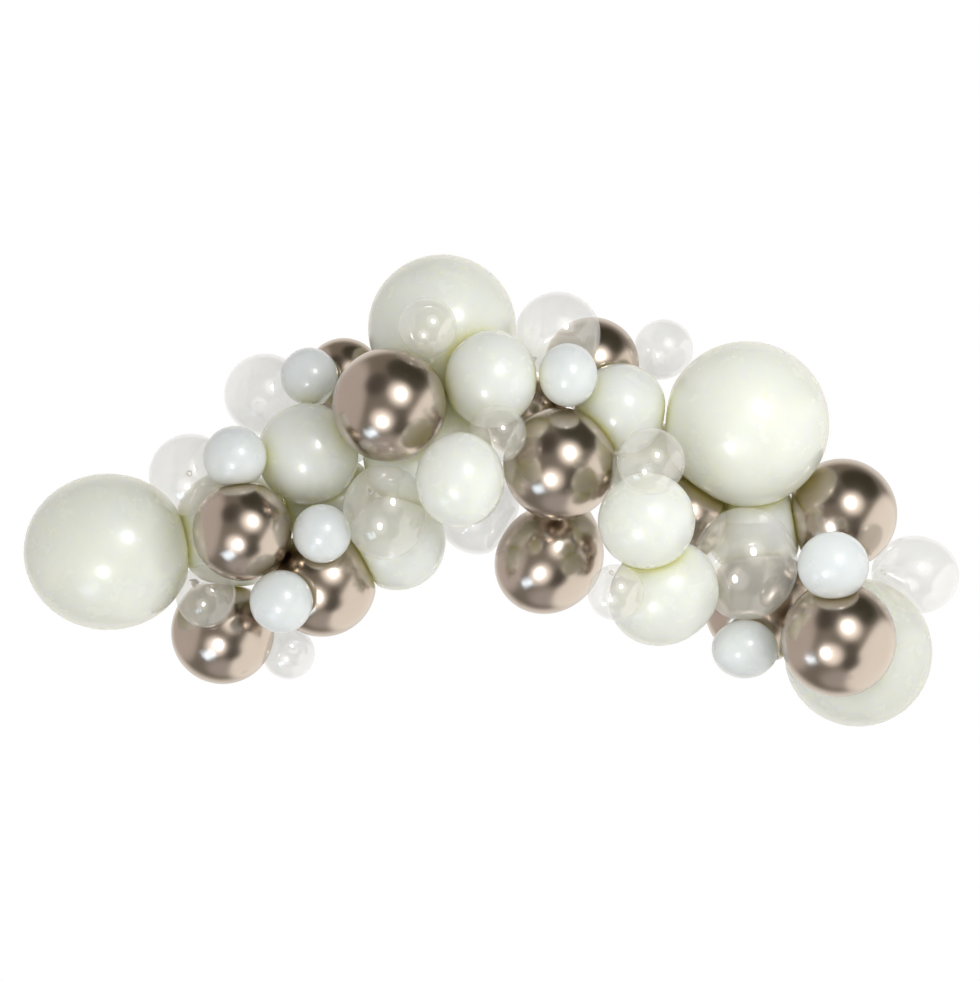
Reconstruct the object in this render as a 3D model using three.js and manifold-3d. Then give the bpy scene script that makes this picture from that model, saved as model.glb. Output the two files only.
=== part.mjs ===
// Balloon garland: an arched bunch of latex balloons tied along a flat plastic strip.
// Millimetres, +Z up, +X along the garland. The front of the bunch faces -Y and the wall
// that the strip hangs on is the plane Y = 0. The origin is on the back of the strip, at
// the crown of its arch, where the garland is hung.
import * as THREE from 'three';
import { mergeVertices } from 'three/addons/utils/BufferGeometryUtils.js';
import Module from 'manifold-3d';

const wasm = await Module();
wasm.setup();

// Diameters that each size of balloon is blown up to.
const LARGE_DIAMETER = 320;
const IVORY_DIAMETER = 200;
const CHROME_DIAMETER = 210;
const CLEAR_DIAMETER = 170;
const SMALL_CLEAR_DIAMETER = 116;
const SMALL_WHITE_DIAMETER = 124;

// The strip that carries the balloons.
const STRIP_WIDTH = 30;
const STRIP_THICKNESS = 1.6;
const STRIP_STEPS = 16;

// Centre line of the strip as [x, z]; it passes through the origin at its crown.
const STRIP_ROUTE = [
  [-690, -290],
  [-350, -150],
  [0, 0],
  [330, -140],
  [650, -390],
];

// Free gap between pieces that touch, and how far two balloons press into each other, as a
// share of the smaller radius: where one rests on another, and at the least anywhere.
const TOUCH_GAP = 0.3;
const GIVE = 0.35;
const LEAST_GIVE = 0.06;

// The form of one balloon, as shares of its radius: a sphere from the crown round to the
// shoulder, a taper from there to the neck, and the tied neck. A neck is pulled out longer
// where that lets it reach the strip.
const SHOULDER_ANGLE = 122;
const TAPER_PULL = 0.5;
const NECK_RADIUS = 0.085;
const NECK_START = 1.24;
const NECK_END = 1.38;
const LONGEST_NECK_END = 1.9;
const FLARE_RADIUS = 0.13;
const FLARE_START = 1.12;

// How much a neck prefers to point at the strip over keeping clear of other balloons.
const STRIP_PULL = 0.6;
const NECK_TRIALS = 600;
const MOST_FORWARD = -0.1;
const ROUNDING = 1e-6;

// Balloons of one kind: blown diameter, sides around, rings from crown to shoulder and
// along the taper, and colour.
const KINDS = {
  large_ivory: {
    diameter: LARGE_DIAMETER, sides: 12, crownRings: 6, taperRings: 2, finish: 'ivory',
  },
  ivory: {
    diameter: IVORY_DIAMETER, sides: 10, crownRings: 5, taperRings: 1, finish: 'ivory',
  },
  chrome: {
    diameter: CHROME_DIAMETER, sides: 10, crownRings: 5, taperRings: 1, finish: 'chrome',
  },
  clear: {
    diameter: CLEAR_DIAMETER, sides: 10, crownRings: 5, taperRings: 1, finish: 'clear',
  },
  small_clear: {
    diameter: SMALL_CLEAR_DIAMETER, sides: 8, crownRings: 4, taperRings: 1, finish: 'clear',
  },
  small_white: {
    diameter: SMALL_WHITE_DIAMETER, sides: 8, crownRings: 4, taperRings: 1, finish: 'white',
  },
};

const FINISHES = {
  ivory: { color: 0xe9e9d8, roughness: 0.28, metalness: 0 },
  white: { color: 0xe6ebea, roughness: 0.22, metalness: 0 },
  chrome: { color: 0xa8958a, roughness: 0.2, metalness: 1 },
  clear: { color: 0xf2f2ee, roughness: 0.1, metalness: 0, transparent: true, opacity: 0.3 },
  strip: { color: 0xe8eaea, roughness: 0.4, metalness: 0 },
};

// The balloons from the back of the bunch to the front: kind, x and z of the centre, and
// how full the balloon is blown, as a share of its kind's diameter.
const BALLOONS = [
  ['ivory', -516, -258, 1.2],
  ['ivory', -320, -208, 1.0],
  ['ivory', 330, -136, 0.92],
  ['clear', -600, -150, 0.98],
  ['clear', -452, 12, 0.97],
  ['small_clear', -405, -508, 0.91],
  ['chrome', -294, 48, 0.74],
  ['clear', -24, -225, 0.99],
  ['ivory', -126, -104, 1.3],
  ['large_ivory', -96, 144, 0.93],
  ['chrome', 72, -34, 0.8],
  ['chrome', 205, 72, 0.91],
  ['clear', 136, 132, 1.01],
  ['small_clear', 351, 104, 1.03],
  ['ivory', 262, -18, 0.92],
  ['ivory', -186, -284, 0.97],
  ['chrome', 119, -318, 1.05],
  ['ivory', 532, -256, 1.0],
  ['chrome', 392, -238, 0.8],
  ['chrome', 540, -418, 0.99],
  ['large_ivory', 739, -506, 0.93],
  ['clear', 852, -350, 0.98],
  ['chrome', 707, -228, 1.06],
  ['large_ivory', -766, -304, 1.02],
  ['chrome', -537, -466, 0.99],
  ['chrome', -336, -366, 1.03],
  ['ivory', -365, -108, 1.02],
  ['clear', -210, -224, 1.06],
  ['small_clear', -125, 146, 1.01],
  ['ivory', 2, 42, 0.95],
  ['chrome', -495, -262, 0.95],
  ['clear', 510, -328, 1.29],
  ['ivory', 348, -386, 1.08],
  ['ivory', 312, -242, 0.97],
  ['large_ivory', 514, -48, 1.04],
  ['chrome', 696, -478, 1.1],
  ['chrome', -201, -10, 1.09],
  ['chrome', 139, -128, 1.08],
  ['small_clear', 15, -67, 1.0],
  ['ivory', -60, -160, 0.92],
  ['clear', 320, -124, 0.8],
  ['small_clear', 251, -384, 0.97],
  ['small_clear', -569, -392, 1.07],
  ['small_white', -362, 48, 0.93],
  ['small_white', -510, -115, 1.02],
  ['small_white', -336, -267, 0.95],
  ['small_white', -417, -403, 1.02],
  ['small_white', 156, 50, 0.99],
  ['small_white', 684, -331, 1.13],
  ['small_white', 510, -498, 1.01],
];

// Places.

const stripCurve = new THREE.SplineCurve(STRIP_ROUTE.map(([x, z]) => new THREE.Vector2(x, z)));
const stripLine = stripCurve.getPoints(STRIP_STEPS);
const stripFront = -STRIP_THICKNESS - TOUCH_GAP;

// The depth at which a balloon pushed back from the front meets the strip's plane or one
// of the balloons that are already in place.
function restingDepth(x, z, radius, placed) {
  let depth = stripFront - radius;
  for (const other of placed) {
    const aside = Math.hypot(x - other.centre.x, z - other.centre.z);
    const reach = radius + other.radius - GIVE * Math.min(radius, other.radius);
    if (aside < reach) {
      depth = Math.min(depth, other.centre.y - Math.sqrt(reach * reach - aside * aside));
    }
  }
  return depth;
}

// A balloon that presses on no other is drawn in to the nearest one.
function drawIn(balloon, balloons) {
  let nearest = null;
  let space = Infinity;
  for (const other of balloons) {
    if (other !== balloon) {
      const press = LEAST_GIVE * Math.min(balloon.radius, other.radius);
      const reach = balloon.radius + other.radius - press;
      const left = balloon.centre.distanceTo(other.centre) - reach;
      if (left < space) {
        nearest = other;
        space = left;
      }
    }
  }
  if (space > 0) {
    const way = nearest.centre.clone().sub(balloon.centre).normalize();
    balloon.centre.addScaledVector(way, space);
    balloon.centre.y = Math.min(balloon.centre.y, stripFront - balloon.radius);
  }
}

function placeBalloons() {
  const placed = [];
  const counts = {};
  for (const [kind, x, z, fill] of BALLOONS) {
    counts[kind] = (counts[kind] ?? 0) + 1;
    const radius = (KINDS[kind].diameter * fill) / 2;
    const centre = new THREE.Vector3(x, restingDepth(x, z, radius, placed), z);
    placed.push({ name: `${kind}_balloon_${counts[kind]}`, kind, centre, radius });
  }
  for (const balloon of placed) {
    drawIn(balloon, placed);
  }
  return placed;
}

// The plane that parts two balloons, as the direction from one to the other and its
// distance from the first one's centre: where they press on each other it runs through
// the circle in which their spheres meet, less half the free gap.
function partingPlane(balloon, other) {
  const normal = other.centre.clone().sub(balloon.centre);
  const apart = normal.length();
  normal.divideScalar(apart);
  const squares = apart ** 2 + balloon.radius ** 2 - other.radius ** 2;
  return { normal, distance: squares / (2 * apart) - TOUCH_GAP / 2 };
}

function planesAround(balloon, balloons) {
  const planes = [{ normal: new THREE.Vector3(0, 1, 0), distance: stripFront - balloon.centre.y }];
  for (const other of balloons) {
    if (other !== balloon) {
      planes.push(partingPlane(balloon, other));
    }
  }
  const farthest = LONGEST_NECK_END * balloon.radius;
  return planes.filter((plane) => plane.distance < farthest);
}

function wayToStrip(balloon) {
  let nearest = null;
  for (const point of stripLine) {
    const way = new THREE.Vector3(point.x, stripFront, point.y).sub(balloon.centre);
    if (nearest === null || way.length() < nearest.length()) {
      nearest = way;
    }
  }
  return nearest;
}

// Directions spread evenly over the back half of a sphere, and a little way round its front.
function neckTrials() {
  const turn = Math.PI * (3 - Math.sqrt(5));
  const trials = [];
  for (let i = 0; i < NECK_TRIALS; i += 1) {
    const y = 1 - (i * (1 - MOST_FORWARD)) / NECK_TRIALS;
    const across = Math.sqrt(1 - y * y);
    trials.push(new THREE.Vector3(across * Math.cos(i * turn), y, across * Math.sin(i * turn)));
  }
  return trials;
}

// How far a neck runs from the balloon's centre before it meets a neighbour or the strip.
function freeRun(way, planes) {
  let run = Infinity;
  for (const plane of planes) {
    const slope = way.dot(plane.normal);
    if (slope > 0) {
      run = Math.min(run, plane.distance / slope);
    }
  }
  return run;
}

// A neck goes straight to the strip where nothing is in its way and it is long enough, and
// otherwise as nearly that way as the gaps between the other balloons allow.
function chooseNeck(balloon, planes) {
  const toStrip = wayToStrip(balloon);
  const distance = toStrip.length() / balloon.radius;
  toStrip.normalize();
  const clear = freeRun(toStrip, planes) / balloon.radius + ROUNDING >= distance;
  if (clear && distance > NECK_END && distance < LONGEST_NECK_END) {
    return { way: toStrip, length: distance };
  }
  let best = null;
  for (const way of neckTrials()) {
    const kept = Math.min(freeRun(way, planes) / balloon.radius, NECK_END);
    const score = kept / NECK_END + STRIP_PULL * way.dot(toStrip);
    if (best === null || score > best.score) {
      best = { score, way };
    }
  }
  return { way: best.way, length: NECK_END };
}

// Shapes.

// Half the outline of a balloon of radius 1 with its centre at 0 and its neck along -Y,
// from the end of the neck to the crown.
function balloonProfile(crownRings, taperRings, neckLength) {
  const shoulder = THREE.MathUtils.degToRad(SHOULDER_ANGLE);
  const edge = new THREE.Vector2(Math.sin(shoulder), Math.cos(shoulder));
  const taper = new THREE.CubicBezierCurve(
    new THREE.Vector2(NECK_RADIUS, -NECK_START),
    new THREE.Vector2(FLARE_RADIUS, -FLARE_START),
    new THREE.Vector2(edge.x + TAPER_PULL * edge.y, edge.y - TAPER_PULL * edge.x),
    edge,
  );
  const points = [
    new THREE.Vector2(0, -neckLength),
    new THREE.Vector2(NECK_RADIUS, -neckLength),
  ];
  for (let i = 0; i < taperRings; i += 1) {
    points.push(taper.getPoint(i / taperRings));
  }
  for (let i = crownRings; i > 0; i -= 1) {
    const angle = (shoulder * i) / crownRings;
    points.push(new THREE.Vector2(Math.sin(angle), Math.cos(angle)));
  }
  points.push(new THREE.Vector2(0, 1));
  return points;
}

function toSolid(geometry) {
  geometry.deleteAttribute('normal');
  geometry.deleteAttribute('uv');
  const merged = mergeVertices(geometry, 1e-3);
  const index = merged.getIndex().array;
  const triangles = [];
  for (let i = 0; i < index.length; i += 3) {
    const [a, b, c] = index.slice(i, i + 3);
    if (a !== b && b !== c && c !== a) {
      triangles.push(a, b, c);
    }
  }
  return new wasm.Manifold(new wasm.Mesh({
    numProp: 3,
    vertProperties: new Float32Array(merged.getAttribute('position').array),
    triVerts: new Uint32Array(triangles),
  }));
}

function toGeometry(solid) {
  const { vertProperties, triVerts } = solid.getMesh();
  const geometry = new THREE.BufferGeometry();
  geometry.setAttribute('position', new THREE.BufferAttribute(vertProperties, 3));
  geometry.setIndex(new THREE.BufferAttribute(triVerts, 1));
  geometry.computeVertexNormals();
  return geometry;
}

// A block that fills everything past a plane, as far as a balloon of this radius reaches.
function blockPast(plane, radius) {
  const side = 4 * radius;
  const block = new THREE.BoxGeometry(side, side, side);
  const turn = new THREE.Quaternion().setFromUnitVectors(new THREE.Vector3(0, 0, 1), plane.normal);
  block.applyQuaternion(turn);
  const shift = plane.normal.clone().multiplyScalar(plane.distance + side / 2);
  block.translate(shift.x, shift.y, shift.z);
  return toSolid(block);
}

function balloonGeometry(balloon, planes, neck) {
  const { sides, crownRings, taperRings } = KINDS[balloon.kind];
  const profile = balloonProfile(crownRings, taperRings, neck.length);
  const shape = new THREE.LatheGeometry(profile, sides);
  shape.scale(balloon.radius, balloon.radius, balloon.radius);
  const turn = new THREE.Quaternion().setFromUnitVectors(new THREE.Vector3(0, -1, 0), neck.way);
  shape.applyQuaternion(turn);
  let solid = toSolid(shape);
  for (const plane of planes) {
    solid = solid.subtract(blockPast(plane, balloon.radius));
  }
  return toGeometry(solid);
}

// The strip is its flat outline, half a width to each side of the centre line, made as
// thick as the strip towards -Y.
function stripGeometry() {
  const sides = [1, -1].map((side) => stripLine.map((point, i) => {
    const along = stripCurve.getTangent(i / STRIP_STEPS);
    const aside = new THREE.Vector2(-along.y, along.x).multiplyScalar((side * STRIP_WIDTH) / 2);
    return point.clone().add(aside);
  }));
  const outline = new THREE.Shape([...sides[0], ...sides[1].reverse()]);
  const strip = new THREE.ExtrudeGeometry(outline, {
    depth: STRIP_THICKNESS, bevelEnabled: false, steps: 1,
  });
  return strip.rotateX(Math.PI / 2);
}

function addMesh(group, name, geometry, finish) {
  const mesh = new THREE.Mesh(geometry, new THREE.MeshStandardMaterial(FINISHES[finish]));
  mesh.name = name;
  group.add(mesh);
  return mesh;
}

const garland = new THREE.Group();
addMesh(garland, 'garland_strip', stripGeometry(), 'strip');
const balloons = placeBalloons();
for (const balloon of balloons) {
  const planes = planesAround(balloon, balloons);
  const neck = chooseNeck(balloon, planes);
  const geometry = balloonGeometry(balloon, planes, neck);
  const mesh = addMesh(garland, balloon.name, geometry, KINDS[balloon.kind].finish);
  mesh.position.copy(balloon.centre);
}

export default garland;
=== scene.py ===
"""Looks of the balloon garland: latex balloons pressed together along a plastic strip.

Metres, +Z up, the front of the bunch faces -Y and the wall is the plane Y = 0. Every balloon
takes its centre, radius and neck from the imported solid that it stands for, apart from
chrome_balloon_6, whose sphere is missed: see balloon_sphere.
"""
import math

import bpy
import numpy as np
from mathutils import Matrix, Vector


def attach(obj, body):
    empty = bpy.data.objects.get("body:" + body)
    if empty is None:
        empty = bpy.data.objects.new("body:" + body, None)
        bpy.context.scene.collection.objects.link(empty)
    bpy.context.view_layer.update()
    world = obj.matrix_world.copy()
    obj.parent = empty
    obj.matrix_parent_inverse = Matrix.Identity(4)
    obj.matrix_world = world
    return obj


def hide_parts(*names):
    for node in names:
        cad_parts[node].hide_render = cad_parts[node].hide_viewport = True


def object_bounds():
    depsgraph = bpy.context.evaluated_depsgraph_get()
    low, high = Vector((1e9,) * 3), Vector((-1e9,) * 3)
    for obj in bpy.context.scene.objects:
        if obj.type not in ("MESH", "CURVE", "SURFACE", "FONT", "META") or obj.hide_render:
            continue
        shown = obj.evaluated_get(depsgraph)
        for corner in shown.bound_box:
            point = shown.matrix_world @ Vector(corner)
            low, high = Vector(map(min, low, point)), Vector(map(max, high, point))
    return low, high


BODY = "root"

# The photograph's frame: its size in pixels, the pixel where the origin lies, and the length
# that one pixel spans on the garland.
IMAGE_WIDTH = 980
IMAGE_HEIGHT = 981
ORIGIN_PIXEL = (490, 400)
PIXEL = 0.002
CAMERA_DISTANCE = 40.0
SENSOR_MM = 36.0

# Form of one balloon, as shares of its radius and as [from axis, towards the neck]: a sphere
# from the crown to the shoulder, a taper, a throat, the knot, and the rolled lip behind it.
SHOULDER_ANGLE = math.radians(122)
TAPER_PULL = 0.5
FLARE_RADIUS = 0.12
FLARE_START = 1.12
THROAT = (0.05, 1.215)
KNOT_MIDDLE = 1.256
KNOT_LINE = [
    THROAT,
    (0.068, 1.232),
    (0.079, KNOT_MIDDLE),
    (0.068, 1.282),
    (0.042, 1.3),
    (0.05, 1.325),
    (0.064, 1.35),
]
LIP_CENTRE = (0.07, 1.364)
LIP_RADIUS = 0.011
LIP_INSIDE = [(0.05, 1.352), (0.03, 1.325), (0.012, 1.315), (0.0, 1.313)]

# Finding a balloon in its solid's corners, in metres: the draws of four corners, how near to a
# sphere a corner lies on it, and the largest radius. Corners past so many radii are the neck's.
SPHERE_DRAWS = 500
SPHERE_NEAR = 3e-5
LARGEST_RADIUS = 0.2
NECK_FROM = 1.15
SEED = 5

# Folds round the neck, as numbers of folds and their depth as a share of the neck's radius:
# two sets of pleats, and the lobes of the knot, which twist by so many radians to the radius.
PLEATS = 11
PLEAT_DEPTH = 0.07
FINE_PLEATS = 17
FINE_PLEAT_DEPTH = 0.05
KNOT_LOBES = 3
KNOT_LOBE_DEPTH = 0.14
KNOT_TWIST = 40
KNOT_HALF_LENGTH = 0.045

# Where the latex is denser in colour: from a start towards the neck it grows over a length, and
# the crown has a spot. These are shares of the radius, and the last is how dense the spot is.
SLACK_START = 0.55
SLACK_LENGTH = 0.65
CROWN_SPOT = 0.09
CROWN_SHARE = 0.35

# Where two balloons press on each other: the free gap between them, how sharply the round
# side turns into the flat contact, and from how many radii away a plane has no effect.
TOUCH_GAP = 0.0003
CONTACT_SHARPNESS = 34
CONTACT_REACH = 1.4375

# The plane that balloons stay in front of: the strip's front and the free gap.
STRIP_FRONT = -0.0019

# How far from a contact the painted light and shade in the nooks reach: the latex colour is
# painted deeper and yellower there, standing for light that has gone through and between the
# balloons, and for their shade.
PAINTED_NOOK_LIGHT_REACH = 0.014

# For each kind of balloon: sides, rings from crown to shoulder, material slot.
KINDS = {
    "large_ivory": (120, 76, "ivory_latex"),
    "ivory": (80, 52, "ivory_latex"),
    "chrome": (100, 64, "chrome_latex"),
    "clear": (80, 52, "clear_latex"),
    "small_clear": (60, 40, "clear_latex"),
    "small_white": (60, 40, "white_latex"),
}

# Clear balloons are softer: another kind that meets one loses this share of its flat to it.
CLEAR_KINDS = ("clear", "small_clear")
FIRMNESS = 0.65

# Balloons that are not quite round: how many times longer than round, and as much narrower
# across, and the angle of the long way from +X towards +Z, in degrees.
OVALS = {
    "large_ivory_balloon_3": (1.04, 0),
    "ivory_balloon_9": (1.03, 80),
    "ivory_balloon_10": (1.06, 33),
    "ivory_balloon_12": (1.035, 90),
    "chrome_balloon_4": (1.05, 48),
    "clear_balloon_5": (1.06, -5),
    "clear_balloon_6": (1.06, 90),
    "clear_balloon_7": (1.035, 90),
    "small_clear_balloon_6": (1.035, 80),
    "small_white_balloon_5": (1.04, 90),
    "small_white_balloon_6": (1.02, 0),
    "small_white_balloon_7": (1.06, 0),
}

# The strip: where the CAD's corners on its back lie, and its holes.
STRIP_BACK_NEAR = 1e-5
HOLE_RADIUS = 0.0052
HOLE_SPACING = 0.024
HOLE_SIDES = 20
HOLE_BEVEL = 0.0004

# The studio floor: its size, and how far under the garland it lies.
FLOOR_RADIUS = 4.0
FLOOR_DROP = 2.35
FLOOR_SIDES = 96

# How far apart two balloons' patterns lie in the noise.
NOISE_STRIDE = 50

# Light: the point that the lamps shine on, their colours, and the strengths of the even
# surround for diffuse light and of the room for mirrored light.
LIT_POINT = Vector((0, -0.2, -0.15))
WHITE_LAMP = (0.97, 1.0, 1.0)
BLUE_LAMP = (0.62, 0.8, 1.0)
EVEN_STRENGTH = 0.5
ROOM_STRENGTH = 1.3


def make_camera():
    """Makes the camera: level, square to the garland, and so far off that depth hardly shows."""
    low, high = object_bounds()
    middle_depth = (low.y + high.y) / 2
    camera_data = bpy.data.cameras.new("camera")
    camera_data.sensor_width = SENSOR_MM
    camera_data.lens = SENSOR_MM * CAMERA_DISTANCE / (max(IMAGE_WIDTH, IMAGE_HEIGHT) * PIXEL)
    camera_data.clip_end = 2 * CAMERA_DISTANCE
    camera = bpy.data.objects.new("camera", camera_data)
    camera.location = (
        (IMAGE_WIDTH / 2 - ORIGIN_PIXEL[0]) * PIXEL,
        middle_depth - CAMERA_DISTANCE,
        (ORIGIN_PIXEL[1] - IMAGE_HEIGHT / 2) * PIXEL,
    )
    camera.rotation_euler = (math.pi / 2, 0, 0)
    bpy.context.scene.collection.objects.link(camera)
    bpy.context.scene.camera = camera


# Balloons.


def node_points(node):
    """The corners of a CAD node, each once."""
    corners = np.array([v.co for v in node.data.vertices], float)
    return np.unique(corners.round(6), axis=0)


def fit_sphere(points):
    """Centre and radius of the sphere that passes through the points."""
    rows = np.c_[2 * points, np.ones(len(points))]
    answer = np.linalg.lstsq(rows, (points**2).sum(1), rcond=None)[0]
    centre = answer[:3]
    return centre, math.sqrt(max(answer[3] + centre @ centre, 0))


def balloon_sphere(points, rng):
    """The sphere on which most corners lie: the neck's and the contacts' corners lie off it.

    The draws are too few to be sure of it for a balloon with many contacts. They miss that of
    chrome_balloon_6, so its skin is too large, off its place and has its neck upwards.
    """
    best = None
    for _ in range(SPHERE_DRAWS):
        picked = points[rng.choice(len(points), 4, replace=False)]
        centre, radius = fit_sphere(picked)
        off = np.abs(np.linalg.norm(points - centre, axis=1) - radius)
        on_it = off < SPHERE_NEAR
        if radius < LARGEST_RADIUS and (best is None or on_it.sum() > best.sum()):
            best = on_it
    return fit_sphere(points[best])


def neck_way(points, centre, radius):
    """Direction from a balloon's centre to its neck, or no number if no corner is the neck's."""
    away = points - centre
    neck = away[np.linalg.norm(away, axis=1) > NECK_FROM * radius]
    way = neck.mean(0)
    return way / np.linalg.norm(way)


def smooth_line(points, steps):
    """A curve through the points, with so many steps between each two."""
    line = np.array(points, float)
    padded = np.vstack([2 * line[0] - line[1], line, 2 * line[-1] - line[-2]])
    made = []
    for before, start, end, after in zip(padded, padded[1:], padded[2:], padded[3:]):
        for t in np.arange(steps) / steps:
            made.append(
                start
                + t * (end - before) / 2
                + t**2 * (2 * before - 5 * start + 4 * end - after) / 2
                + t**3 * (3 * start - before - 3 * end + after) / 2
            )
    return np.array(made + [line[-1]])


def balloon_outline(rings):
    """Half the outline of a balloon of radius 1, crown first, as [from axis, towards the neck]."""
    angles = np.linspace(0, SHOULDER_ANGLE, rings + 1)
    dome = np.c_[np.sin(angles), -np.cos(angles)]
    edge = dome[-1]
    tangent = np.array([math.cos(SHOULDER_ANGLE), math.sin(SHOULDER_ANGLE)])
    t = np.linspace(0, 1, rings // 3 + 1)[1:, None]
    flare = np.array([FLARE_RADIUS, FLARE_START])
    taper = (
        (1 - t) ** 3 * edge
        + 3 * (1 - t) ** 2 * t * (edge + TAPER_PULL * tangent)
        + 3 * (1 - t) * t**2 * flare
        + t**3 * np.array(THROAT)
    )
    knot = smooth_line(KNOT_LINE, 3)
    turns = np.linspace(-0.5, 1.0, 8) * math.pi
    lip = np.array(LIP_CENTRE) + LIP_RADIUS * np.c_[np.cos(turns), np.sin(turns)]
    inside = smooth_line(LIP_INSIDE, 2)
    return np.vstack([dome, taper, knot[1:], lip, inside])


def balloon_points(outline, sides, roll):
    """Rings of points round the axis, with the neck's pleats and the twisted knot."""
    around = np.arange(sides) * 2 * math.pi / sides
    out, along = outline[1:-1, :1], outline[1:-1, 1:]
    pleated = np.clip((along - 1.0) / (THROAT[1] - 1.0), 0, 1) ** 2
    past_knot = along - KNOT_MIDDLE
    knotted = np.clip(1 - np.abs(past_knot) / KNOT_HALF_LENGTH, 0, 1)
    wave = PLEAT_DEPTH * pleated * np.cos(PLEATS * around + roll)
    wave = wave + FINE_PLEAT_DEPTH * pleated * np.cos(FINE_PLEATS * around - 2 * roll)
    lobes = np.cos(KNOT_LOBES * around + KNOT_TWIST * past_knot + roll)
    wave = wave + KNOT_LOBE_DEPTH * knotted * lobes
    reach = out * (1 + wave)
    rings = np.stack(
        [reach * np.cos(around), reach * np.sin(around), -along + 0 * reach], axis=-1
    )
    crown = np.array([[0, 0, -outline[0, 1]]])
    end = np.array([[0, 0, -outline[-1, 1]]])
    return np.vstack([crown, rings.reshape(-1, 3), end])


def lathe_faces(rings, sides):
    """Faces of a closed lathe: a fan, bands of four-sided faces, and a fan."""
    side = np.arange(sides)
    after = (side + 1) % sides
    faces = [(0, 1 + i, 1 + j) for i, j in zip(side, after)]
    for ring in range(rings - 1):
        a, b = 1 + ring * sides, 1 + (ring + 1) * sides
        faces += [(a + i, b + i, b + j, a + j) for i, j in zip(side, after)]
    last, end = 1 + (rings - 1) * sides, 1 + rings * sides
    faces += [(last + i, end, last + j) for i, j in zip(side, after)]
    return [tuple(int(v) for v in face) for face in faces]


def turned(points, neck):
    """Points of a balloon whose neck points along -Z, turned so that it points along neck."""
    turn = Vector((0, 0, -1)).rotation_difference(Vector(neck)).to_matrix()
    return points @ np.array(turn).T


def ovalled(points, name):
    """Points of a balloon drawn out along its long way and in across it."""
    stretch, angle = OVALS.get(name, (1, 0))
    angle = math.radians(angle)
    way = np.array([math.cos(angle), 0, math.sin(angle)])
    across = np.array([-math.sin(angle), 0, math.cos(angle)])
    out = np.outer(points @ way, way) * (stretch - 1)
    inward = np.outer(points @ across, across) * (1 - 1 / stretch)
    return points + out - inward


def meeting(balloon, other, apart):
    """How far from a balloon's centre the flat where it meets another is.

    A clear balloon is the softer one, so it takes most of the flat where it meets another kind.
    """
    squares = apart**2 + balloon["radius"] ** 2 - other["radius"] ** 2
    distance = squares / (2 * apart)
    soft, other_soft = (b["kind"] in CLEAR_KINDS for b in (balloon, other))
    if soft and not other_soft:
        distance = apart - meeting(other, balloon, apart)
    elif other_soft and not soft:
        distance += FIRMNESS * max(0.0, balloon["radius"] - distance)
    return distance


def contact_planes(balloon, balloons):
    """Planes that a balloon stays behind, as (direction, distance from its centre)."""
    planes = [(np.array([0.0, 1.0, 0.0]), STRIP_FRONT - balloon["centre"][1])]
    for other in balloons:
        if other is not balloon:
            way = other["centre"] - balloon["centre"]
            apart = np.linalg.norm(way)
            planes.append((way / apart, meeting(balloon, other, apart) - TOUCH_GAP / 2))
    reach = CONTACT_REACH * balloon["radius"]
    return [(normal, distance) for normal, distance in planes if distance < reach]


def press(points, planes):
    """Draws points in towards the centre where they would pass a plane, with soft edges."""
    past = np.ones(len(points))
    for normal, distance in planes:
        past += np.clip(points @ normal / distance, 0, None) ** CONTACT_SHARPNESS
    return points / past[:, None] ** (1 / CONTACT_SHARPNESS)


def read_balloons(frame):
    """Every balloon's name, kind, centre, radius, way to the neck and turn about its axis."""
    rng = np.random.default_rng(SEED)
    balloons = []
    for name in sorted(frame["nodes"]):
        kind = name.split("_balloon_")[0]
        if kind in KINDS:
            points = node_points(frame["nodes"][name])
            centre, radius = balloon_sphere(points, rng)
            neck = neck_way(points, centre, radius)
            roll = rng.uniform(0, 2 * math.pi)
            balloons.append(
                dict(name=name, kind=kind, centre=centre, radius=radius, neck=neck, roll=roll)
            )
    return balloons


def new_piece(name, points, faces, material):
    """A smooth mesh of one material."""
    mesh = bpy.data.meshes.new(name)
    mesh.from_pydata(points.tolist(), [], faces)
    mesh.polygons.foreach_set("use_smooth", [True] * len(mesh.polygons))
    mesh.materials.append(material)
    mesh.validate()
    piece = bpy.data.objects.new(name, mesh)
    bpy.context.scene.collection.objects.link(piece)
    return piece


def set_shares(piece, name, shares):
    """Keeps a share from 0 to 1 for each corner of a piece, for its material."""
    attribute = piece.data.attributes.new(name, "FLOAT", "POINT")
    attribute.data.foreach_set("value", shares.astype(np.float32))


def painted_nook_light_shares(points, balloon, balloons):
    """Share of painted light and shade: 1 where a balloon meets one that isn't clear, falling off
    beside the contact.
    """
    open_share = np.ones(len(points))
    for other in balloons:
        if other is not balloon and other["kind"] not in CLEAR_KINDS:
            gap = np.linalg.norm(points - other["centre"], axis=1) - other["radius"]
            open_share *= 1 - np.exp(-np.clip(gap, 0, None) / PAINTED_NOOK_LIGHT_REACH)
    return 1 - open_share


def slack_shares(shape):
    """How thick the latex is for its colour: most at the neck, and some at the crown."""
    slack = np.clip((-shape[:, 2] - SLACK_START) / SLACK_LENGTH, 0, 1) ** 2
    spot = np.clip(1 - np.hypot(shape[:, 0], shape[:, 1]) / CROWN_SPOT, 0, 1)
    return np.maximum(slack, CROWN_SHARE * spot * (shape[:, 2] > 0))


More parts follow.
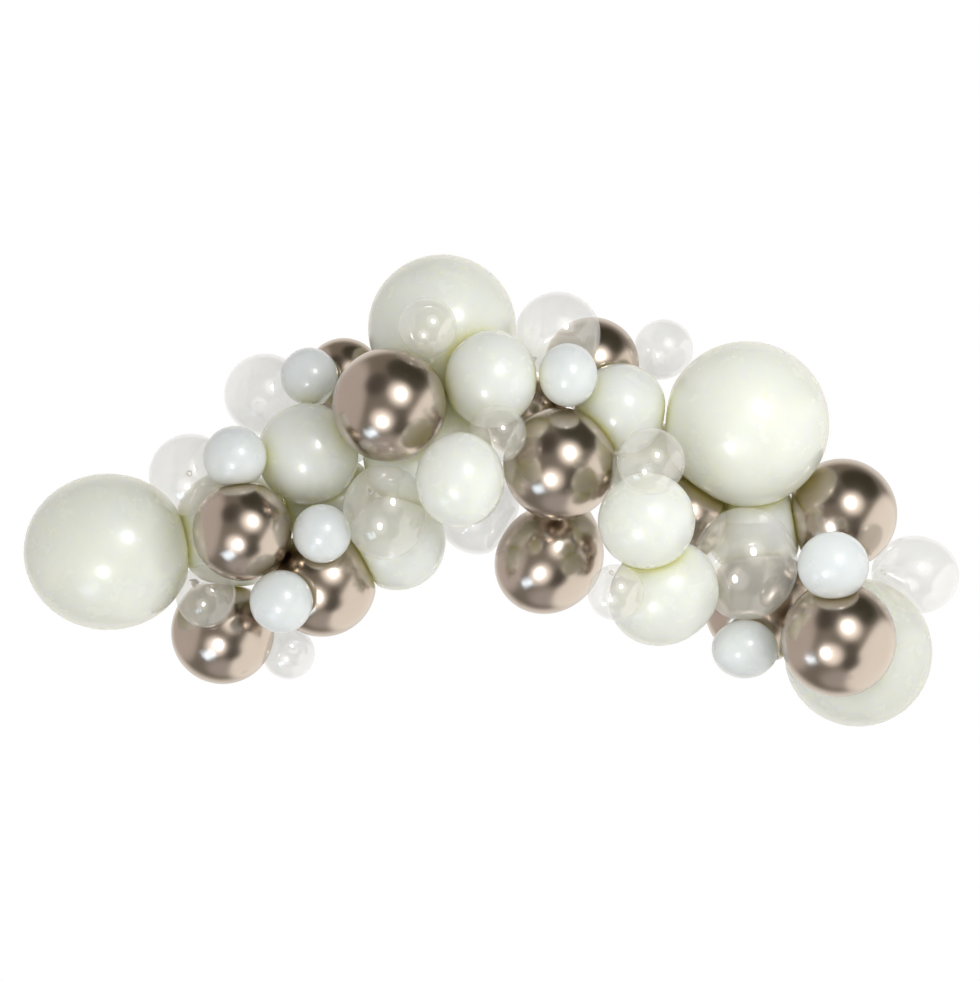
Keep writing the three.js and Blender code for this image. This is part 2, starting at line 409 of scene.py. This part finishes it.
def make_balloon(balloon, balloons, materials):
    """One balloon's skin, pressed flat where it meets others, in place of its solid."""
    sides, rings, slot = KINDS[balloon["kind"]]
    outline = balloon_outline(rings)
    shape = balloon_points(outline, sides, balloon["roll"])
    points = turned(shape, balloon["neck"]) * balloon["radius"]
    points = ovalled(points, balloon["name"])
    points = press(points, contact_planes(balloon, balloons))
    faces = lathe_faces(len(outline) - 2, sides)
    piece = new_piece(balloon["name"] + "_skin", points, faces, materials[slot])
    piece.location = balloon["centre"]
    set_shares(piece, "slack", slack_shares(shape))
    # Painted light and shade in the nooks between balloons, kept for each corner.
    set_shares(piece, "painted_nook_light", painted_nook_light_shares(points + balloon["centre"], balloon, balloons))
    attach(piece, BODY)
    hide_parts(balloon["name"])
    piece.visible_shadow = balloon["kind"] not in CLEAR_KINDS


# Strip.


def strip_line(node):
    """Stations along the strip's centre line, and the strip's width and thickness."""
    points = node_points(node)
    back = points[points[:, 1] > -STRIP_BACK_NEAR]
    back = back[np.argsort(back[:, 0])]
    pairs = back.reshape(-1, 2, 3)
    width = np.linalg.norm(pairs[:, 0] - pairs[:, 1], axis=1).mean()
    return pairs.mean(1)[:, [0, 2]], width, -points[:, 1].min()


def spaced_line(line, gap):
    """Distances along the line, about half the gap apart, and the place and direction at each."""
    fine = smooth_line(line, 40)
    run = np.r_[0, np.cumsum(np.linalg.norm(np.diff(fine, axis=0), axis=1))]
    cells = int(run[-1] // gap)
    marks = np.linspace(0, run[-1], cells * 2 + 1)
    spaced = np.c_[np.interp(marks, run, fine[:, 0]), np.interp(marks, run, fine[:, 1])]
    along = np.gradient(spaced, axis=0)
    return marks, spaced, along / np.linalg.norm(along, axis=1)[:, None]


def make_strip(frame, materials):
    """The flat plastic strip, in oblong steps along its line with a round hole in each.

    A step is six rings of corners, from the oblong on its back through the hole to the oblong
    on its front. It has no outer wall where it joins the next step.
    """
    node = "garland_strip"
    line, width, thickness = strip_line(frame["nodes"][node])
    marks, spaced, along = spaced_line(line, HOLE_SPACING)
    turns = (np.arange(HOLE_SIDES) + 0.5) * 2 * math.pi / HOLE_SIDES
    circle = np.c_[np.cos(turns), np.sin(turns)]
    half = (marks[2] - marks[0]) / 2
    oblong = circle / np.abs(circle).max(1)[:, None] * [half, width / 2]
    on_side = np.isclose(np.abs(oblong), [half, width / 2])
    rings = [
        (oblong, 0),
        (circle * (HOLE_RADIUS + HOLE_BEVEL), 0),
        (circle * HOLE_RADIUS, HOLE_BEVEL),
        (circle * HOLE_RADIUS, thickness - HOLE_BEVEL),
        (circle * (HOLE_RADIUS + HOLE_BEVEL), thickness),
        (oblong, thickness),
    ]
    points, faces = [], []
    for middle in marks[1::2]:
        base = len(points)
        for ring, depth in rings:
            for u, v in ring:
                at = middle + u
                place = [np.interp(at, marks, spaced[:, k]) for k in (0, 1)]
                way = [np.interp(at, marks, along[:, k]) for k in (0, 1)]
                points.append((place[0] - way[1] * v, -depth, place[1] + way[0] * v))
        for i in range(HOLE_SIDES):
            j = (i + 1) % HOLE_SIDES
            for ring in range(len(rings) - 1):
                a, b = base + ring * HOLE_SIDES, base + (ring + 1) * HOLE_SIDES
                faces.append((a + i, a + j, b + j, b + i))
            at_end = middle == (marks[1] if oblong[i, 0] < 0 else marks[-2])
            across, lengthways = on_side[i] & on_side[j]
            if lengthways or (across and at_end):
                a = base + (len(rings) - 1) * HOLE_SIDES
                faces.append((a + i, a + j, base + j, base + i))
    points, joined = np.unique(np.array(points).round(7), axis=0, return_inverse=True)
    faces = [tuple(joined.ravel()[list(face)[::-1]].tolist()) for face in faces]
    piece = new_piece("garland_strip_holed", points, faces, materials["strip_plastic"])
    piece.data.polygons.foreach_set("use_smooth", [False] * len(piece.data.polygons))
    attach(piece, BODY)
    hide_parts(node)


# Materials.


class Finish:
    """A material with one surface shader, and short calls that add the nodes that feed it."""

    def __init__(self, name, **values):
        self.material = bpy.data.materials.new(name)
        self.material.use_nodes = True
        self.tree = self.material.node_tree
        self.shader = self.tree.nodes["Principled BSDF"]
        for socket, value in values.items():
            self.shader.inputs[socket.replace("_", " ")].default_value = value
        self.place = self.add("ShaderNodeTexCoord").outputs["Object"]
        self.chance = self.add("ShaderNodeObjectInfo").outputs["Random"]

    def add(self, kind, **settings):
        node = self.tree.nodes.new(kind)
        for name, value in settings.items():
            setattr(node, name, value)
        return node

    def link(self, output, socket):
        self.tree.links.new(output, socket)

    def noise(self, scale, detail=2.0):
        """Noise that differs from balloon to balloon, with so many features to the metre."""
        node = self.add("ShaderNodeTexNoise", noise_dimensions="4D")
        node.inputs["Scale"].default_value = scale
        node.inputs["Detail"].default_value = detail
        self.link(self.place, node.inputs["Vector"])
        stretch = self.add("ShaderNodeMath", operation="MULTIPLY")
        stretch.inputs[1].default_value = NOISE_STRIDE
        self.link(self.chance, stretch.inputs[0])
        self.link(stretch.outputs[0], node.inputs["W"])
        return node.outputs["Fac"]

    def spread(self, value, low, high):
        """A noise's middle range, spread from low to high."""
        node = self.add("ShaderNodeMapRange")
        for socket, number in zip(node.inputs[1:5], (0.3, 0.7, low, high)):
            socket.default_value = number
        self.link(value, node.inputs[0])
        return node.outputs[0]

    def mix(self, factor, first, second):
        """A colour between two, each of which is a fixed colour or an output."""
        node = self.add("ShaderNodeMix", data_type="RGBA")
        self.link(factor, node.inputs["Factor"])
        for socket, value in ((node.inputs[6], first), (node.inputs[7], second)):
            if isinstance(value, tuple):
                socket.default_value = (*value, 1)
            else:
                self.link(value, socket)
        return node.outputs[2]

    def bump(self, height, strength, depth, under=None):
        """Relief of so many metres, on top of another relief if there is one."""
        node = self.add("ShaderNodeBump")
        node.inputs["Strength"].default_value = strength
        node.inputs["Distance"].default_value = depth
        self.link(height, node.inputs["Height"])
        if under is not None:
            self.link(under, node.inputs["Normal"])
        return node.outputs["Normal"]

    def share(self, name):
        """A share that each corner of the mesh keeps."""
        return self.add("ShaderNodeAttribute", attribute_name=name).outputs["Fac"]


def latex(name, pale, deep, painted_nook_light, dense, rough, **values):
    """Latex that mottles between pale and deep, with painted light and shade in the nooks and its
    deeper colour at the neck.

    Rough gives the least and the most roughness of its smears.
    """
    finish = Finish(name, **values)
    clouds = finish.spread(finish.noise(scale=9, detail=3), 0, 1)
    colour = finish.mix(clouds, pale, deep)
    # Painted light and shade: colour near contacts with other balloons.
    colour = finish.mix(finish.share("painted_nook_light"), colour, painted_nook_light)
    colour = finish.mix(finish.share("slack"), colour, dense)
    finish.link(colour, finish.shader.inputs["Base Color"])
    smears = finish.spread(finish.noise(scale=28, detail=4), *rough)
    finish.link(smears, finish.shader.inputs["Roughness"])
    waves = finish.noise(scale=14, detail=1)
    wobble = finish.bump(waves, strength=0.25, depth=0.0012)
    specks = finish.noise(scale=900, detail=2)
    grain = finish.bump(specks, strength=0.12, depth=0.0001, under=wobble)
    finish.link(grain, finish.shader.inputs["Normal"])
    return finish.material


def make_materials():
    """The materials, by slot."""
    ivory = latex(
        "ivory_latex",
        pale=(0.95, 0.95, 0.84),
        deep=(0.94, 0.94, 0.82),
        # Painted light and shade in the nooks between balloons.
        painted_nook_light=(0.92, 0.88, 0.50),
        dense=(0.88, 0.85, 0.62),
        rough=(0.2, 0.3),
        Subsurface_Weight=1.0,
        Subsurface_Radius=(1.0, 0.96, 0.6),
        Subsurface_Scale=0.12,
        Sheen_Weight=0.2,
        Sheen_Roughness=0.35,
        Sheen_Tint=(1.0, 0.95, 0.66, 1.0),
        Coat_Weight=0.4,
        Coat_Roughness=0.1,
    )
    white = latex(
        "white_latex",
        pale=(0.84, 0.86, 0.86),
        deep=(0.82, 0.84, 0.84),
        # Painted light and shade in the nooks between balloons.
        painted_nook_light=(0.85, 0.82, 0.68),
        dense=(0.77, 0.77, 0.70),
        rough=(0.2, 0.3),
        Subsurface_Weight=1.0,
        Subsurface_Radius=(1.0, 0.96, 0.85),
        Subsurface_Scale=0.06,
        Coat_Weight=0.4,
        Coat_Roughness=0.1,
    )
    chrome = latex(
        "chrome_latex",
        pale=(0.57, 0.50, 0.435),
        deep=(0.53, 0.46, 0.395),
        # Painted shade in the nooks between balloons.
        painted_nook_light=(0.50, 0.42, 0.32),
        dense=(0.40, 0.31, 0.24),
        rough=(0.19, 0.25),
        Metallic=1.0,
    )
    clear = latex(
        "clear_latex",
        pale=(0.86, 0.845, 0.82),
        deep=(0.83, 0.815, 0.79),
        # Painted light and shade in the nooks between balloons.
        painted_nook_light=(0.84, 0.81, 0.66),
        dense=(0.78, 0.74, 0.60),
        rough=(0.08, 0.14),
        Alpha=0.32,
        Specular_IOR_Level=1.0,
        Coat_Weight=1.0,
        Coat_Roughness=0.04,
        Coat_IOR=3.0,
        Sheen_Weight=0.3,
    )
    strip = Finish("strip_plastic", Alpha=0.35, Specular_IOR_Level=0.6)
    scratches = strip.noise(scale=60, detail=5)
    tone = strip.mix(strip.spread(scratches, 0, 1), (0.86, 0.88, 0.86), (0.76, 0.79, 0.77))
    strip.link(tone, strip.shader.inputs["Base Color"])
    strip.link(strip.spread(scratches, 0.25, 0.45), strip.shader.inputs["Roughness"])
    grain = strip.bump(strip.noise(scale=400, detail=3), strength=0.2, depth=0.0002)
    strip.link(grain, strip.shader.inputs["Normal"])
    return {
        "ivory_latex": ivory,
        "white_latex": white,
        "chrome_latex": chrome,
        "clear_latex": clear,
        "strip_plastic": strip.material,
    }


# Studio.


def soft_light(name, right, up, distance, size, power, colour=WHITE_LAMP, glossy=True):
    """An oval light that shines on the garland, placed by its angles from straight ahead.

    Angles are in degrees, distance and size in metres and power in watts. A glossy light is
    only mirrored, and any other only gives diffuse light.
    """
    data = bpy.data.lights.new(name, "AREA")
    data.shape = "ELLIPSE"
    data.size, data.size_y = size
    data.energy = power
    data.color = colour
    lamp = bpy.data.objects.new(name, data)
    way = facing(right, up)
    lamp.location = LIT_POINT + way * distance
    lamp.rotation_euler = way.to_track_quat("Z", "Y").to_euler()
    lamp.visible_glossy = glossy
    lamp.visible_diffuse = not glossy
    bpy.context.scene.collection.objects.link(lamp)


def room(tree, patches, base):
    """A room all round, of one grey with soft round patches.

    A patch is its direction, the degrees from there to where it starts and has quite faded,
    and its colour.
    """
    nodes, links = tree.nodes, tree.links
    around = nodes.new("ShaderNodeTexCoord").outputs["Generated"]
    colour = None
    for way, inner, outer, patch in patches:
        toward = nodes.new("ShaderNodeVectorMath")
        toward.operation = "DOT_PRODUCT"
        toward.inputs[1].default_value = way.normalized()
        links.new(around, toward.inputs[0])
        edge = nodes.new("ShaderNodeMapRange")
        edge.interpolation_type = "SMOOTHSTEP"
        edge.inputs["From Min"].default_value = math.cos(math.radians(outer))
        edge.inputs["From Max"].default_value = math.cos(math.radians(inner))
        links.new(toward.outputs["Value"], edge.inputs["Value"])
        mix = nodes.new("ShaderNodeMix")
        mix.data_type = "RGBA"
        links.new(edge.outputs["Result"], mix.inputs["Factor"])
        if colour is None:
            mix.inputs[6].default_value = (*base, 1)
        else:
            links.new(colour, mix.inputs[6])
        mix.inputs[7].default_value = (*patch, 1)
        colour = mix.outputs[2]
    return colour


def facing(right, up):
    """Direction by its angles right of and above straight ahead of the garland, in degrees."""
    right, up = math.radians(right), math.radians(up)
    return Vector(
        (math.sin(right) * math.cos(up), -math.cos(right) * math.cos(up), math.sin(up))
    )


def make_studio():
    """A white backdrop, a room for mirrored light, an even surround for the rest, and lamps."""
    world = bpy.data.worlds.new("studio")
    bpy.context.scene.world = world
    world.use_nodes = True
    tree = world.node_tree
    nodes, links = tree.nodes, tree.links
    shown = nodes["Background"]
    shown.inputs["Color"].default_value = (1, 1, 1, 1)
    lighting = nodes.new("ShaderNodeBackground")
    even = nodes.new("ShaderNodeBackground")
    even.inputs["Color"].default_value = (*WHITE_LAMP, 1)
    even.inputs["Strength"].default_value = EVEN_STRENGTH
    patches = [
        # Ceiling, floor, the wall behind the garland, and the walls left and right of it.
        (facing(0, 90), 20, 45, (0.20, 0.18, 0.15)),
        (facing(0, -90), 12, 34, (0.42, 0.39, 0.38)),
        (facing(180, 0), 35, 60, (0.75, 0.72, 0.68)),
        (facing(-100, 10), 42, 56, (0.53, 0.48, 0.46)),
        (facing(102, -28), 45, 56, (0.98, 0.95, 0.90)),
        # Dark places, high on the right and on the left, and two under the right key lamp.
        (facing(72, 58), 28, 40, (0.05, 0.046, 0.03)),
        (facing(-32, 42), 12, 30, (0.07, 0.06, 0.05)),
        (facing(27, -16), 4, 18, (0.09, 0.08, 0.065)),
        (facing(30, -44), 8, 24, (0.08, 0.07, 0.06)),
        # Glow round the two key lamps.
        (facing(23, 22), 3, 30, (1.3, 1.23, 1.17)),
        (facing(-17, -31), 3, 28, (1.3, 1.22, 1.18)),
    ]
    links.new(room(tree, patches, (0.20, 0.18, 0.155)), lighting.inputs["Color"])
    lighting.inputs["Strength"].default_value = ROOM_STRENGTH
    ray = nodes.new("ShaderNodeLightPath")
    surround = lighting.outputs[0]
    for kind, source in (("Diffuse Depth", even), ("Is Camera Ray", shown)):
        mix = nodes.new("ShaderNodeMixShader")
        links.new(ray.outputs[kind], mix.inputs[0])
        links.new(surround, mix.inputs[1])
        links.new(source.outputs[0], mix.inputs[2])
        surround = mix.outputs[0]
    links.new(surround, nodes["World Output"].inputs["Surface"])
    soft_light("key_right", 23, 22, 8, (1.9, 2.3), 170)
    soft_light("key_left", -18, -31, 4.2, (0.95, 1.15), 34)
    soft_light("fill_right", 42, 20, 2.3, (1.4, 1.4), 16, glossy=False)
    soft_light("fill_front", -12, 4, 5.0, (3.0, 3.0), 35, glossy=False)
    soft_light("fill_low", -12, -48, 3.0, (1.8, 1.8), 17, glossy=False)
    for bar in range(4):
        soft_light(f"bar_{bar}", -44 - 8 * bar, -46, 2.6, (0.1, 0.75), 1.3, BLUE_LAMP)
    bpy.context.scene.view_settings.view_transform = "Standard"


def make_floor(low):
    """A pale round floor under the garland."""
    around = np.arange(FLOOR_SIDES) * 2 * math.pi / FLOOR_SIDES
    rim = FLOOR_RADIUS * np.c_[np.cos(around), np.sin(around), np.zeros(FLOOR_SIDES)]
    finish = Finish("floor", Roughness=0.6)
    clouds = finish.spread(finish.noise(scale=3), 0, 1)
    tone = finish.mix(clouds, (0.86, 0.86, 0.85), (0.84, 0.84, 0.83))
    finish.link(tone, finish.shader.inputs["Base Color"])
    floor = new_piece("floor", rim, [tuple(range(FLOOR_SIDES))], finish.material)
    floor.location = (0, 0, low - FLOOR_DROP)
    floor.visible_glossy = False


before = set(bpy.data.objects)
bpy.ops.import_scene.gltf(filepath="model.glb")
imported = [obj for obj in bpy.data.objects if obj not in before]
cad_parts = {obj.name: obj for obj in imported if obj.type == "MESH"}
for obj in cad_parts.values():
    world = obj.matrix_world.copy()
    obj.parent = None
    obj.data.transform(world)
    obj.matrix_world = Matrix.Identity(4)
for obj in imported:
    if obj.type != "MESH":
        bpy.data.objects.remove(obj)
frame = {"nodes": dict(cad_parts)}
cad_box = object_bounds()
make_camera()
materials = make_materials()
balloons = read_balloons(frame)
for balloon in balloons:
    make_balloon(balloon, balloons, materials)
make_strip(frame, materials)
make_floor(cad_box[0].z)
make_studio()
